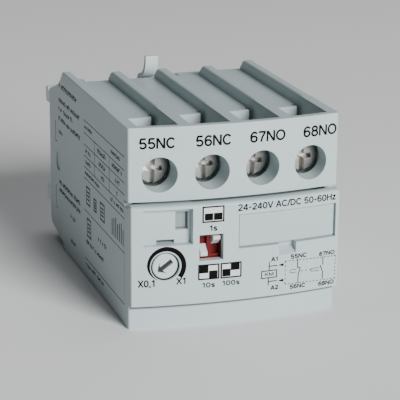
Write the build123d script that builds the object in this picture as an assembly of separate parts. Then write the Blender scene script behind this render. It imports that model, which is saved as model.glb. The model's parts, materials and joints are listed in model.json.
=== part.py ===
from build123d import *
import os

# Front-mount timing module, millimetres. X across (0 in the middle), Y from front to rear, Z up.
# While it is drawn, Y is 0 at the front corners of the terminal block and Z is 0 underneath.

# Casing
width = 45.0
height = 42.3
bow = 2.0
cover_proud = 2.0
wall = 1.6
rear_y = 64.6
floor_z = 1.6
channel_z = 39.8
side_rib = 2.0
inner_rib = 2.4
rib_round = 0.6
rib_slope_start = 48.9
rib_slope_end = 52.0
seam = 0.5
lip_deep = 0.9
lip_tall = 0.35
dip_start = 51.5
dip_end = 57.5
dip_low = 38.0

# Terminals
pitch = 10.77
terminal_names = ["55", "56", "67", "68"]
terminal_z = 32.5
access_r = 3.65
well_half = (pitch - inner_rib) / 2
well_front = 3.6
well_rear = 15.3
well_floor = 28.2
ledge_z = 37.0
block_rear = 20.2
head_r = 3.4
head_front = 4.2
head_rear = 6.4
shank_r = 1.75
thread_r = 1.80
shank_end = 12.6
saddle_half = 3.6
saddle_front = 6.45
saddle_rear = 7.5
plate_front = 10.1
plate_rear = 11.3
tail_half = 1.2
tail_front = 21.2
tail_rear = 22.0
slot_turns = [88, 93, 86, 91]
slot_half = 0.5
slot_deep = 1.1
cross_half = 2.1

# Front cover
cover_low = 5.5
cover_high = 26.98 - seam
cover_rear = 2.5
step_tall = 0.85
step_back = 0.15
under_gap = 1.15
under_deep = 1.1
under_end = 0.35
cover_skin = 1.6
window_x = (-20.0, -9.95)
window_z = (18.2, 25.7)
window_step_x = -13.25
eye_x = (-13.25, -10.35)
eye_z = (20.95, 24.75)
switch_x = (-8.62, -3.57)
switch_z = (14.54, 20.01)
knob_x = -15.55
knob_z = 13.85
knob_r = 2.7
knob_gap = 0.25
knob_front = -2.8
arrow_angle = 215
marker_x = (-0.3, 21.6)
marker_z = (16.5, 23.7)
marker_gap = 0.2
marker_wide_gap = 0.42
notch_x = (8.6, 12.4)
notch_z = (14.1, 15.4)
notch_floor_y = -1.5
notch_wall = 0.8

# Two-way selector switch
slider_x = [-7.37, -4.67]
slider_names = ["left", "right"]
slider_rest_z = [15.25, 17.35]
slider_tall = 2.0
slider_tip = 0.8
slider_half = 0.75
trough_z = (15.1, 19.5)
switch_front = -1.75

# Boards
front_board_y = (6.5, 7.7)
main_board_z = (4.6, 6.2)
main_board_y = (9.0, 58.0)
board_half = 20.3

# Rear base, hooks, latch and coil contacts
base_front = 62.2
base_rear = 64.4
base_half = 20.75
base_z = (6.75, 34.25)
lug_y = (58.25, 59.35)
lug_z = [(8.65, 13.85), (24.65, 29.35)]
lug_ramp = 0.8
hook_y = 68.9
hook_z = [(8.0, 11.7), (31.8, 35.5)]
latch_x = -0.75
latch_half = 1.45
latch_gap = 0.25
cheek = 1.6
latch_thick = 1.1
pivot_y = 61.4
pivot_z = 32.6
pin_r = 0.80
pin_hole_r = 0.85
spring_z = 22.0
spring_front = 55.9
spring_rear = 60.75
web_y = (54.6, 55.8)
contact_x = 12.0
contact_z = (8.0, 12.0)
contact_end = 68.0
bar_x = (-12.95, -10.75)
bar_z = (22.4, 24.5)

# The frame's origin is under the middle of the whole module.
centre_y = (hook_y - bow - cover_proud) / 2
bow_radius = ((width / 2) ** 2 + bow ** 2) / (2 * bow)
terminal_x = [pitch * (i - 1.5) for i in range(4)]


def block(x, y, z):
    size = [max(s) - min(s) for s in (x, y, z)]
    middle = [(s[0] + s[1]) / 2 for s in (x, y, z)]
    return Pos(*middle) * Box(*size)


def rod_y(x, z, radius, y):
    return Pos(x, (y[0] + y[1]) / 2, z) * Rot(90, 0, 0) * Cylinder(radius, abs(y[1] - y[0]))


def rod_x(y, z, radius, x):
    return Pos((x[0] + x[1]) / 2, y, z) * Rot(0, 90, 0) * Cylinder(radius, abs(x[1] - x[0]))


def rod_z(x, y, radius, z):
    return Pos(x, y, (z[0] + z[1]) / 2) * Cylinder(radius, abs(z[1] - z[0]))


def across(lines, x):
    """Side outline in (Y, Z), swept from x[0] to x[1]."""
    side = Plane((x[0], 0, 0), x_dir=(0, 1, 0), z_dir=(1, 0, 0))
    return extrude(side * make_face(lines), amount=x[1] - x[0])


def back(lines, y):
    """Front outline in (X, Z), swept from y[0] to y[1]."""
    front = Plane((0, y[0], 0), x_dir=(1, 0, 0), z_dir=(0, -1, 0))
    return extrude(front * make_face(lines), amount=-(y[1] - y[0]))


def behind_bow(proud):
    """All that lies behind the bowed front face, moved forward by proud."""
    return Pos(0, bow_radius - bow - proud, 30) * Cylinder(bow_radius, 100)


def bow_y(x):
    return -bow * (1 - (2 * x / width) ** 2)


def outline(points):
    return Polyline(*points, close=True)


def pair(x0, x1):
    return [(-x1, -x0), (x0, x1)]


def beside_latch(half):
    return (latch_x - half, latch_x + half)


def save(node, shape):
    export_step(Pos(0, -centre_y, 0) * shape, "parts/" + node + ".step")


def rib(x, y, round_left, round_right):
    low = channel_z - 1
    lines = [
        Line((x[0], low), (x[0], height - round_left)),
        RadiusArc((x[0], height - round_left), (x[0] + round_left, height), round_left),
        Line((x[0] + round_left, height), (x[1] - round_right, height)),
        RadiusArc((x[1] - round_right, height), (x[1], height - round_right), round_right),
        Line((x[1], height - round_right), (x[1], low)),
        Line((x[1], low), (x[0], low)),
    ]
    return back(lines, y)


def casing_outline():
    return [
        Line((-6, 0), (52.6, 0)),
        Line((52.6, 0), (53.9, 1.7)),
        Line((53.9, 1.7), (63.0, 3.35)),
        ThreePointArc((63.0, 3.35), (64.15, 3.95), (rear_y, 5.1)),
        Line((rear_y, 5.1), (rear_y, 35.7)),
        Line((rear_y, 35.7), (58.4, 37.75)),
        ThreePointArc((58.4, 37.75), (56.3, 38.6), (54.4, channel_z)),
        Line((54.4, channel_z), (51.8, height)),
        Line((51.8, height), (-6, height)),
        Line((-6, height), (-6, 0)),
    ]


def casing_hollow():
    block_floor = cover_high + seam
    return [
        (1.0, floor_z),
        (1.0, block_floor),
        (block_rear, block_floor),
        (block_rear, channel_z - wall),
        (53.0, channel_z - wall),
        (57.8, 36.3),
        (61.9, 34.95),
        (61.9, 34.4),
        (rear_y + 5, 34.4),
        (rear_y + 5, 6.6),
        (61.9, 6.6),
        (61.9, 4.8),
        (53.4, 3.3),
        (52.0, floor_z),
    ]


def casing_top():
    """Channels between the five ribs, with the ribs put back rounded."""
    half = width / 2
    whole = block((-half - 1, half + 1), (well_rear, 60), (channel_z, height + 1))
    rear_end = rib_slope_end + 1
    ribs = []
    for x in (-pitch, 0, pitch):
        bar = rib((x - inner_rib / 2, x + inner_rib / 2), (well_rear - 1, rear_end), rib_round, rib_round)
        ramp = [(rib_slope_start, height), (rib_slope_end, channel_z), (rear_end + 2, channel_z)]
        ramp += [(rear_end + 2, height + 1), (rib_slope_start, height + 1)]
        ribs.append(bar - across(outline(ramp), (x - 3, x + 3)))
    ribs.append(rib((-half, -half + side_rib), (well_rear - 1, 60), 0.3, rib_round))
    ribs.append(rib((half - side_rib, half), (well_rear - 1, 60), rib_round, 0.3))
    return whole, ribs


def shelf_dip():
    """Shallow ramp in the shelf's rear edge, with slanting ends, around the lever."""
    ramp = [(dip_start, channel_z), (dip_end, dip_low), (dip_end + 3, dip_low)]
    ramp += [(dip_end + 3, height), (dip_start, height)]
    ends = [(-18.4, 41.0), (-14.9, 37.5), (2.7, 37.5), (6.2, 41.0)]
    return across(outline(ramp), (-20, 8)) & back(outline(ends), (dip_start - 1, dip_end + 4))


def housing():
    half = width / 2
    outer = across(casing_outline(), (-half, half))
    body = outer & behind_bow(0)
    corners = body.edges().filter_by(Axis.Z).sort_by(Axis.Y)[:2]
    body = fillet(corners, 0.5)
    cut, ribs = casing_top()
    body -= cut
    for bar in ribs:
        body += bar & outer
    body -= across(outline(casing_hollow()), (-half + wall, half - wall))
    body -= block((-half - 1, half + 1), (-6, cover_rear + 0.15), (cover_low - 0.05, cover_high + seam))
    groove = block((under_end - half, half - under_end), (-6, cover_rear), (cover_low - under_gap, cover_low))
    body -= groove - behind_bow(-under_deep)
    for x in terminal_x:
        sides = (x - well_half, x + well_half)
        body -= block(sides, (well_front, well_rear), (well_floor, height + 1))
        body -= block(sides, (-3, well_front + 0.1), (ledge_z, height + 1)) & behind_bow(-1.5)
        body -= rod_y(x, terminal_z, access_r, (-5, well_front + 0.1))
        body -= block((sides[1] - 1.0, sides[1]), (well_rear - 0.1, 18.7), (34.0, height + 1))
        body -= block((x - 1.35, x + 1.35), (well_rear - 0.1, block_rear + 0.1), (well_floor, 29.25))
        lip = [(well_rear, channel_z - 0.5), (well_rear, channel_z + lip_tall)]
        lip += [(well_rear + lip_deep, channel_z + lip_tall), (well_rear + lip_deep + 0.3, channel_z - 0.5)]
        body += across(outline(lip), (sides[0] - 0.1, sides[1] - 1.0))
    for side in pair(half - wall - 1, half + 1):
        for z in lug_z:
            body -= block(side, (58.1, 59.5), (z[0] - 0.15, z[1] + 0.15))
    for side in pair(half - 0.35, half + 1):
        body -= rod_x(57.0, 20.2, 2.2, side)
    body -= block(beside_latch(latch_half + latch_gap + 0.05), (60.4, 63.7), (33.5, 40))
    body -= shelf_dip()
    body += block((-3, 3), web_y, (17, channel_z - wall + 0.5))
    for side in pair(half - wall - 1.5, half - wall):
        body += block(side, (10, 50), (3.3, main_board_z[0]))
    return body


def cover_shell():
    half = width / 2
    body = block((-half, half), (-8, cover_rear), (cover_low, cover_high)) & behind_bow(cover_proud)
    front_edges = body.edges().filter_by(GeomType.CIRCLE).sort_by(Axis.Z)
    body = fillet(front_edges[-1:], 0.7)
    corners = body.edges().filter_by(Axis.Z).sort_by(Axis.Y)[:2]
    body = fillet(corners, 0.4)
    inner = block((-half + 1.4, half - 1.4), (-8, cover_rear + 1), (cover_low + 1.4, cover_high - 1.4))
    body -= inner & behind_bow(cover_proud - cover_skin)
    step = block((-half - 1, half + 1), (-3, cover_rear + 1), (cover_high - step_tall, cover_high + 1))
    return body - (step & behind_bow(-step_back))


def cover_window(body):
    """Sunk window at upper left: a panel with two slots, and a deeper step with the eye."""
    body += block((-21.2, -9.3), (-2.2, 1.3), (17.1, 26.2)) & behind_bow(cover_proud - 0.5)
    body -= block((window_x[0], window_step_x + 0.1), (-8, 1), window_z) - behind_bow(0.8)
    body -= block((window_step_x, window_x[1]), (-8, 1), window_z) - behind_bow(0.2)
    body -= block(eye_x, (-4, 2), eye_z)
    body -= block((-17.1, window_step_x), (-4, 2), (window_z[0], window_z[0] + 0.95))
    body -= block((-17.1, window_step_x), (-4, 2), (window_z[1] - 0.25, window_z[1]))
    return body


def front_cover():
    body = cover_window(cover_shell())
    body -= block(switch_x, (-8, 0), switch_z)
    body -= rod_y(knob_x, knob_z, knob_r + knob_gap, (-8, 3))
    body += block((-1.5, 21.0), (-2.2, -0.2), (15.6, 24.6)) & behind_bow(cover_proud - 0.5)
    body -= block(marker_x, (-8, 1), marker_z) - behind_bow(0.8)
    body += block((notch_x[0] - notch_wall, notch_x[1] + notch_wall), (-2.2, -0.2), (notch_z[0] - 0.5, 16))
    scoop = [(-5, notch_z[0]), (-3.56, notch_z[0]), (notch_floor_y, notch_z[1])]
    scoop += [(notch_floor_y, 17.2), (-5, 17.2)]
    body -= across(outline(scoop), notch_x)
    return body


def marker_plate():
    plate = block((marker_x[0] + marker_gap, marker_x[1] - marker_wide_gap), (-8, 1),
                  (marker_z[0] + marker_wide_gap, marker_z[1] - marker_gap))
    return (plate & behind_bow(1.7)) - behind_bow(0.85)


def setting_knob():
    body = rod_y(knob_x, knob_z, knob_r, (knob_front, 0.8))
    body = chamfer(body.edges().sort_by(Axis.Y)[:1], 0.2)
    body += rod_y(knob_x, knob_z, 1.2, (0.7, 4.4))
    tail = (1.75, 0.5)
    arrow = [(-tail[0], -tail[1]), (0.95, -tail[1]), (0.55, -1.45), (1.95, 0), (0.55, 1.45)]
    arrow += [(0.95, tail[1]), (-tail[0], tail[1])]
    turned = Pos(knob_x, knob_z) * Rot(0, 0, arrow_angle) * make_face(outline(arrow))
    face = Plane((0, knob_front - 0.1, 0), x_dir=(1, 0, 0), z_dir=(0, -1, 0))
    return body - extrude(face * turned, amount=-0.9)


def potentiometer():
    half = 3.9
    body = block((knob_x - half, knob_x + half), (1.6, front_board_y[0]), (knob_z - half, knob_z + half))
    body = chamfer(body.edges().filter_by(Axis.Y), 0.8)
    return body - rod_y(knob_x, knob_z, 1.26, (1, 4.7))


def switch_body():
    body = block((-9.2, -2.95), (switch_front, front_board_y[0]), (13.9, 20.6))
    for x in slider_x:
        body -= block((x - 0.95, x + 0.95), (-3, switch_front + 1.0), trough_z)
    return body


def switch_slider(i):
    x = slider_x[i]
    low = slider_rest_z[i]
    high = low + slider_tall
    knob = block((x - slider_half, x + slider_half), (-3.0, switch_front + 0.5), (low, high))
    # the left one slopes away upwards, the right one downwards
    tip, far = (low + slider_tip, high) if i == 0 else (high - slider_tip, low)
    beyond = far + (1 if i == 0 else -1)
    slope = [(-4, tip), (-3.0, tip), (switch_front + 0.2, far), (switch_front + 0.2, beyond), (-4, beyond)]
    knob -= across(outline(slope), (x - 1, x + 1))
    foot = block((x - 0.85, x + 0.85), (switch_front + 0.35, switch_front + 0.9), (low - 0.1, high + 0.1))
    return knob + foot


def terminal_screw(i):
    x = terminal_x[i]
    head = rod_y(x, terminal_z, head_r, (head_front, head_rear))
    head = fillet(head.edges().sort_by(Axis.Y)[:1], 0.5)
    for turn, half_long in ((0, head_r + 1), (90, cross_half)):
        slot = block((-half_long, half_long), (head_front - 1, head_front + slot_deep), (-slot_half, slot_half))
        head -= Pos(x, 0, terminal_z) * Rot(0, slot_turns[i] + turn, 0) * slot
    return head + rod_y(x, terminal_z, shank_r, (head_rear - 0.1, shank_end))


def wire_clamp(i):
    x = terminal_x[i]
    low, high = terminal_z - saddle_half, terminal_z + saddle_half
    body = block((x - saddle_half, x + saddle_half), (saddle_front, saddle_rear), (low, high))
    body = chamfer(body.edges().filter_by(Axis.Y), 0.8)
    for side in (-1, 1):
        for step in range(3):
            groove = x + side * (2.3 + 0.45 * step)
            body -= block((groove - 0.1, groove + 0.1), (saddle_rear - 0.2, saddle_rear + 1), (low - 1, high + 1))
    return body - rod_y(x, terminal_z, thread_r + 0.05, (5, 9))


def terminal_plate(i):
    x = terminal_x[i]
    body = block((x - 3.8, x + 3.8), (plate_front, plate_rear), (well_floor + 0.05, 36.6))
    body += rod_y(x, terminal_z, 2.7, (plate_rear - 0.1, 12.5))
    body += block((x - tail_half, x + tail_half), (plate_rear - 0.1, tail_rear), (well_floor + 0.1, 29.1))
    body += block((x - tail_half, x + tail_half), (tail_front, tail_rear), (4.2, 29.0))
    return body - rod_y(x, terminal_z, thread_r, (9, 14))


def front_board():
    body = block((-board_half, board_half), front_board_y, (6.5, 24.9))
    return body - block((-13.4, -10.2), (6, 8), (20.8, 26))


def main_board():
    body = block((-board_half, board_half), main_board_y, main_board_z)
    for x in terminal_x:
        body -= block((x - tail_half - 0.1, x + tail_half + 0.1), (tail_front - 0.1, tail_rear + 0.1), (4, 7))
    for x in (-contact_x, contact_x):
        body -= block((x - 0.45, x + 0.45), (55.4, 57.1), (4, 7))
    return body


def board_connector():
    body = block((-7.6, 7.6), (front_board_y[1], 11.4), (main_board_z[1], 8.8))
    for i in range(6):
        body += block((-6.65 + 2.54 * i, -6.05 + 2.54 * i), (11.3, 12.6), (main_board_z[1], 6.9))
    return body


def relay(x):
    body = block((x - 5.1, x + 5.1), (23.6, 43.9), (main_board_z[1], 21.2))
    return chamfer(body.edges().filter_by(Axis.Z), 0.6)


def smoothing_capacitor():
    body = rod_z(12.6, 49.6, 5.0, (main_board_z[1], 21.6))
    body = fillet(body.edges().sort_by(Axis.Z)[-1:], 0.5)
    bead = rod_z(12.6, 49.6, 6, (7.6, 8.3)) - rod_z(12.6, 49.6, 4.7, (7.5, 8.4))
    return body - bead


def film_capacitor():
    body = block((-18.5, -7.5), (46.6, 52.8), (main_board_z[1], 17.2))
    return chamfer(body.edges().filter_by(Axis.Z), 0.5)


def varistor():
    body = rod_y(1.5, 11.2, 3.7, (47.0, 50.0))
    body = fillet(body.edges(), 0.7)
    for x in (-0.75, 3.15):
        body += block((x, x + 0.6), (48.2, 48.8), (main_board_z[1], 9.2))
    return body


def rectifier():
    body = block((-4.0, 4.0), (14.6, 18.6), (main_board_z[1], 12.4))
    return chamfer(body.edges().filter_by(Axis.Y).sort_by(Axis.X)[-1:], 1.0)


def power_resistor():
    lead = 0.35
    y, z = 16.4, 8.6
    body = rod_x(y, z, 1.7, (8.4, 16.0))
    for x, foot in (((7.2, 8.5), 7.2 + lead), ((15.9, 17.2), 17.2 - lead)):
        body += rod_x(y, z, lead, x)
        body += rod_z(foot, y, lead, (main_board_z[1], z))
    return body


def controller_chip():
    body = block((2.0, 9.0), (front_board_y[1] + 0.15, 9.5), (13.2, 17.2))
    for i in range(5):
        for z in ((12.4, 13.3), (17.1, 18.0)):
            x = 2.9 + 1.27 * i
            body += block((x - 0.22, x + 0.22), (front_board_y[1], 8.2), z)
    return body


def hook(side, z):
    """Foot that stands behind the seat: a narrow neck and a taller rounded head."""
    low, high = z
    inner, outer = 18.7, width / 2 - 0.2
    neck = block((inner, 20.6), (base_rear - 0.1, hook_y - 2), (low + 0.3, min(high - 1.3, base_z[1] - 0.1)))
    neck += block((inner, outer), (rear_y + 0.3, hook_y - 2), (low + 0.6, high - 0.6))
    head = block((inner, outer), (rear_y + 1.7, hook_y), (low, high))
    head = fillet(head.edges().filter_by(Axis.X), 0.9)
    foot = neck + head
    return foot if side > 0 else mirror(foot, about=Plane.YZ)


def lug(side, z):
    """Snap lug with a lead-in ramp at its front."""
    inner, outer = base_half - 0.1, width / 2 - 0.12
    rim = [(inner, lug_y[0]), (outer - lug_ramp, lug_y[0]), (outer, lug_y[0] + lug_ramp)]
    rim += [(outer, lug_y[1]), (inner, lug_y[1])]
    face = Pos(0, 0, z[0]) * make_face(outline([(side * x, y) for x, y in rim]))
    return extrude(face, amount=z[1] - z[0], dir=(0, 0, 1))


def rear_base():
    body = block((-base_half, base_half), (base_front, base_rear), base_z)
    for side in pair(19.3, base_half):
        for z in lug_z:
            body += block(side, (57.4, base_front + 0.1), z)
    for side in (-1, 1):
        for z in lug_z:
            body += lug(side, z)
        for z in hook_z:
            body += hook(side, z)
    slot = latch_half + latch_gap
    for side in pair(slot, slot + cheek):
        body += block([latch_x + x for x in side], (59.8, base_front + 0.1), (30.6, base_z[1]))
    body -= rod_x(pivot_y, pivot_z, pin_hole_r, beside_latch(4))
    body -= block(beside_latch(slot + 0.05), (61, 65), (18.6, 26.0))
    body -= block(beside_latch(slot), (61, 63.8), (25.9, 36))
    for x in (-contact_x, contact_x):
        body -= block((x - 0.6, x + 0.6), (61, 65), (contact_z[0] - 0.2, contact_z[1] + 0.2))
    return body - block((bar_x[0] - 0.3, bar_x[1] + 0.3), (61, 65), (bar_z[0] - 0.3, bar_z[1] + 0.3))


def release_lever():
    """Strip that rises from its pivot, leans forward over the shelf and ends in an upright tab."""
    path = [
        Line((pivot_y, 19.8), (pivot_y, 36.6)),
        ThreePointArc((pivot_y, 36.6), (60.9, 37.9), (59.6, 38.5)),
        ThreePointArc((59.6, 38.5), (56.5, 40.2), (55.2, 43.4)),
        Line((55.2, 43.4), (55.2, height + 1.7)),
    ]
    strip = [offset_strip(edge) for edge in path]
    body = strip[0]
    for piece in strip[1:]:
        body += piece
    body += rod_x(pivot_y, pivot_z, 1.5, (-latch_half, latch_half))
    nose = [(pivot_y, 20.4), (66.0, 21.2), (66.0, 22.2), (pivot_y + 0.4, 24.4), (pivot_y, 24.4)]
    body += across(outline(nose), (-latch_half, latch_half))
    return Pos(latch_x, 0, 0) * (body - rod_x(pivot_y, pivot_z, pin_hole_r, (-4, 4)))


def offset_strip(edge):
    ends = [edge @ 0, edge @ 1]
    tangents = [edge % 0, edge % 1]
    rim = []
    for side in (-1, 1):
        shifted = []
        for at in (0, 0.5, 1):
            point, tangent = edge @ at, edge % at
            shifted.append((point.X - side * tangent.Y * latch_thick / 2,
                            point.Y + side * tangent.X * latch_thick / 2))
        rim.append(shifted)
    left, right = rim
    straight = abs(tangents[0].X - tangents[1].X) < 1e-6
    if straight:
        return across(outline([left[0], left[2], right[2], right[0]]), (-latch_half, latch_half))
    lines = [ThreePointArc(*left), Line(left[2], right[2]), ThreePointArc(*reversed(right)), Line(right[0], left[0])]
    return across(lines, (-latch_half, latch_half))


def latch_pin():
    return rod_x(pivot_y, pivot_z, pin_r, beside_latch(latch_half + latch_gap + cheek - 0.05))


def latch_spring():
    wire = 0.2
    turns = 4
    length = spring_rear - spring_front - 2 * wire
    coil = Helix(pitch=length / turns, height=length, radius=1.2)
    section = Plane(coil @ 0, z_dir=coil % 0) * Circle(wire)
    spring = sweep(section, path=coil, is_frenet=True)
    return Pos(latch_x, spring_front + wire, spring_z) * Rot(-90, 0, 0) * spring


def coil_contact(x):
    blade = block((x - 0.4, x + 0.4), (55.5, contact_end), contact_z)
    blade = chamfer(blade.edges().filter_by(Axis.X).sort_by(Axis.Y)[-2:], 0.9)
    return blade + block((x - 0.4, x + 0.4), (55.5, 57.0), (4.2, contact_z[0] + 0.1))


def position_indicator():
    head = block((-13.0, -10.65), (-0.9, 3.4), (21.15, 24.55))
    head = chamfer(head.edges().sort_by(Axis.Y)[:4], 0.15)
    bar = block(bar_x, (3.3, 66.2), bar_z)
    catch = block((-14, -10), (64.9, 65.6), (23.7, 25))
    return head + bar - catch


def main():
    os.makedirs("parts", exist_ok=True)
    save("housing", housing())
    save("front_cover", front_cover())
    save("rear_base", rear_base())
    save("marker_plate", marker_plate())
    save("setting_knob", setting_knob())
    save("potentiometer", potentiometer())
    save("selector_switch_body", switch_body())
    save("front_board", front_board())
    save("main_board", main_board())
    save("board_connector", board_connector())
    save("relay_break_contact", relay(-8.0))
    save("relay_make_contact", relay(8.0))
    save("smoothing_capacitor", smoothing_capacitor())
    save("film_capacitor", film_capacitor())
    save("varistor", varistor())
    save("rectifier", rectifier())
    save("power_resistor", power_resistor())
    save("controller_chip", controller_chip())
    save("release_lever", release_lever())
    save("latch_pin", latch_pin())
    save("latch_spring", latch_spring())
    save("coil_contact_a1", coil_contact(-contact_x))
    save("coil_contact_a2", coil_contact(contact_x))
    save("position_indicator", position_indicator())
    for i, name in enumerate(slider_names):
        save("selector_slider_" + name, switch_slider(i))
    for i, name in enumerate(terminal_names):
        save("terminal_screw_" + name, terminal_screw(i))
        save("wire_clamp_" + name, wire_clamp(i))
        save("terminal_plate_" + name, terminal_plate(i))


main()
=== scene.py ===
import json
import math
import bpy
import bmesh
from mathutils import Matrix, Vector


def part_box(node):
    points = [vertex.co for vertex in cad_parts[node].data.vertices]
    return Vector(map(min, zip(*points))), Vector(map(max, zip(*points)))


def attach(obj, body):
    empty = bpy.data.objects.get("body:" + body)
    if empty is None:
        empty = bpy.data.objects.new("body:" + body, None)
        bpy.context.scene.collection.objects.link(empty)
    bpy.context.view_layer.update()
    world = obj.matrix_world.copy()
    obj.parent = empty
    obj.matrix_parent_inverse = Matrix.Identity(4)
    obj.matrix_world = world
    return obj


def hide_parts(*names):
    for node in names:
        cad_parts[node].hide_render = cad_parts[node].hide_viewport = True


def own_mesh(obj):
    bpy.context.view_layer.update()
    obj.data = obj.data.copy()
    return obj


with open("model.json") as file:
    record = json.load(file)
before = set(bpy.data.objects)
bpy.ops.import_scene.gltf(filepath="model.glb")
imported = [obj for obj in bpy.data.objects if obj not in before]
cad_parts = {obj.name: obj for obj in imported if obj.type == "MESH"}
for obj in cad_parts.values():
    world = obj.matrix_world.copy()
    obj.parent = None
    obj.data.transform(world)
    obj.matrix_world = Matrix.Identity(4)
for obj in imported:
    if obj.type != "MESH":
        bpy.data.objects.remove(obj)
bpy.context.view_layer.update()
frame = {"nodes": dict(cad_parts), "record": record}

mm = 0.001
centreY = 32.45  # from the front corners of the block back to the frame's middle, mm
bowRadius, bowDepth = 127.5625, 2.0  # the front face is bowed across its width
coverProud = 2.0  # the cover stands in front of the block, mm
bodyOf = {node: body for body, nodes in frame["record"]["behaviour"]["bodies"].items() for node in nodes}
slotOf = {part["node"]: part["material_slot"] for part in frame["record"]["subparts"]}
print("frame loaded:", len(frame["nodes"]), "nodes")


# sockets that take part in arithmetic, and one way to add a node
class Wire:
    def __init__(self, tree, socket):
        self.tree, self.socket = tree, socket

    def math(self, operation, first, *others):
        return self.tree.add("ShaderNodeMath", {"operation": operation}, dict(enumerate((first,) + others)))

    def other(self, name):
        return Wire(self.tree, self.socket.node.outputs[name])

    def __add__(self, value):
        return self.math("ADD", self, value)

    def __sub__(self, value):
        return self.math("SUBTRACT", self, value)

    def __rsub__(self, value):
        return self.math("SUBTRACT", value, self)

    def __mul__(self, value):
        return self.math("MULTIPLY", self, value)

    def __truediv__(self, value):
        return self.math("DIVIDE", self, value)

    def __rtruediv__(self, value):
        return self.math("DIVIDE", value, self)

    def __gt__(self, value):
        return self.math("GREATER_THAN", self, value)

    def __lt__(self, value):
        return self.math("LESS_THAN", self, value)

    def root(self):
        return self.math("SQRT", self)

    def least(self, value):
        return self.math("MINIMUM", self, value)

    __radd__, __rmul__ = __add__, __mul__


class Tree:
    def __init__(self, nodeTree):
        self.nodes, self.links = nodeTree.nodes, nodeTree.links

    def add(self, kind, settings={}, inputs={}, output=0):
        node = self.nodes.new(kind)
        for key, value in settings.items():
            if key == "stops":
                ramp = node.color_ramp.elements
                while len(ramp) < len(value):
                    ramp.new(0.5)
                for stop, (place, shade) in zip(ramp, value):
                    stop.position, stop.color = place, (shade, shade, shade, 1)
            else:
                setattr(node, key, value)
        for key, value in inputs.items():
            self.feed(node.inputs[key], value)
        return Wire(self, node.outputs[output])

    def feed(self, socket, value):
        if isinstance(value, Wire):
            self.links.new(value.socket, socket)
        else:
            socket.default_value = value

    def noise(self, place, size, detail=3.0, rough=0.5):
        return self.add("ShaderNodeTexNoise", {}, {"Vector": place, "Scale": 1 / (size * mm),
                                                   "Detail": detail, "Roughness": rough})

    def blend(self, factor, first, second):
        return self.add("ShaderNodeMix", {"data_type": "RGBA"}, {0: factor, 6: first, 7: second}, 2)

    def emboss(self, shader, strength, deep, height):
        bump = self.add("ShaderNodeBump", {}, {"Strength": strength, "Distance": deep * mm, "Height": height})
        self.feed(shader.inputs["Normal"], bump)

    def vector(self, **parts):
        return self.add("ShaderNodeCombineXYZ", {}, parts)

    def moved(self, geometry, **changes):
        return self.add("GeometryNodeTransform", {}, {"Geometry": geometry, **changes})

    def together(self, parts):
        whole = self.nodes.new("GeometryNodeJoinGeometry")
        for part in parts:
            self.links.new(part.socket, whole.inputs[0])
        return Wire(self, whole.outputs[0])


def tone(colour, lift):
    return tuple(min(1.0, part * lift) for part in colour[:3]) + (1,)


# finishes: what all of a kind share, sizes in mm
moulding = {"dustStops": [(0.56, 0.0), (0.78, 1.0)], "dustTone": 0.72, "dustSize": 4, "cloudRough": 0.10,
            "grainRough": 0.08, "roughMiddle": 0.09, "bumpDeep": 0.02, "ior": 1.5}
plating = {"scratchSize": 0.25, "scratchTone": 0.55, "scratchCover": 0.3, "darkMottle": 0.80,
           "paleMottle": 1.15, "mottleRough": 0.18, "scratchRough": 0.12, "roughMiddle": 0.14,
           "mottleBump": 0.5, "bumpDeep": 0.01}
boardLook = {"mask": (0.010, 0.085, 0.030, 1), "overCopper": (0.025, 0.16, 0.055, 1),
             "tin": (0.60, 0.60, 0.58, 1), "trackPitch": 1.9, "trackScatter": 0.35, "trackEdge": 0.10,
             "padPitch": 2.54, "padScatter": 0.6, "padEdge": 0.16, "padMetal": 0.9, "padRough": 0.05,
             "roughness": 0.28, "cloudSize": 1.5, "cloudRough": 0.12, "trackBump": 0.5, "bump": 0.4,
             "bumpDeep": 0.03}
inking = {"roughness": 0.55, "coverRough": 0.15, "bump": 0.2, "bumpDeep": 0.005}


def startFinish(name):
    material = bpy.data.materials.new(name)
    material.use_nodes = True
    tree = Tree(material.node_tree)
    shader = tree.nodes["Principled BSDF"]
    place = tree.add("ShaderNodeTexCoord", {}, {}, "Object")
    return material, tree, shader, place


def mouldedPlastic(name, look):
    # spark-eroded mould texture, faint flow clouds and a little handling dust
    material, tree, shader, place = startFinish(name)
    clouds = tree.noise(place, look["cloudSize"], detail=2.0)
    grain = tree.noise(place, look["grainSize"], detail=2.0, rough=0.6)
    specks = tree.noise(place, look["grainSize"] * moulding["dustSize"], detail=4.0, rough=0.7)
    colour, spread = look["colour"], look["spread"]
    body = tree.blend(clouds, tone(colour, 1 - spread), tone(colour, 1 + spread))
    dust = tree.add("ShaderNodeValToRGB", {"stops": moulding["dustStops"]}, {"Fac": specks})
    dusted = tree.blend(dust * look["dust"], body, tone(colour, moulding["dustTone"]))
    tree.feed(shader.inputs["Base Color"], dusted)
    uneven = clouds * moulding["cloudRough"] + grain * moulding["grainRough"]
    tree.feed(shader.inputs["Roughness"], uneven + (look["roughness"] - moulding["roughMiddle"]))
    tree.emboss(shader, look["bump"], moulding["bumpDeep"], grain)
    shader.inputs["IOR"].default_value = moulding["ior"]
    shader.inputs["Specular IOR Level"].default_value = look["gloss"]
    return material


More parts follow.
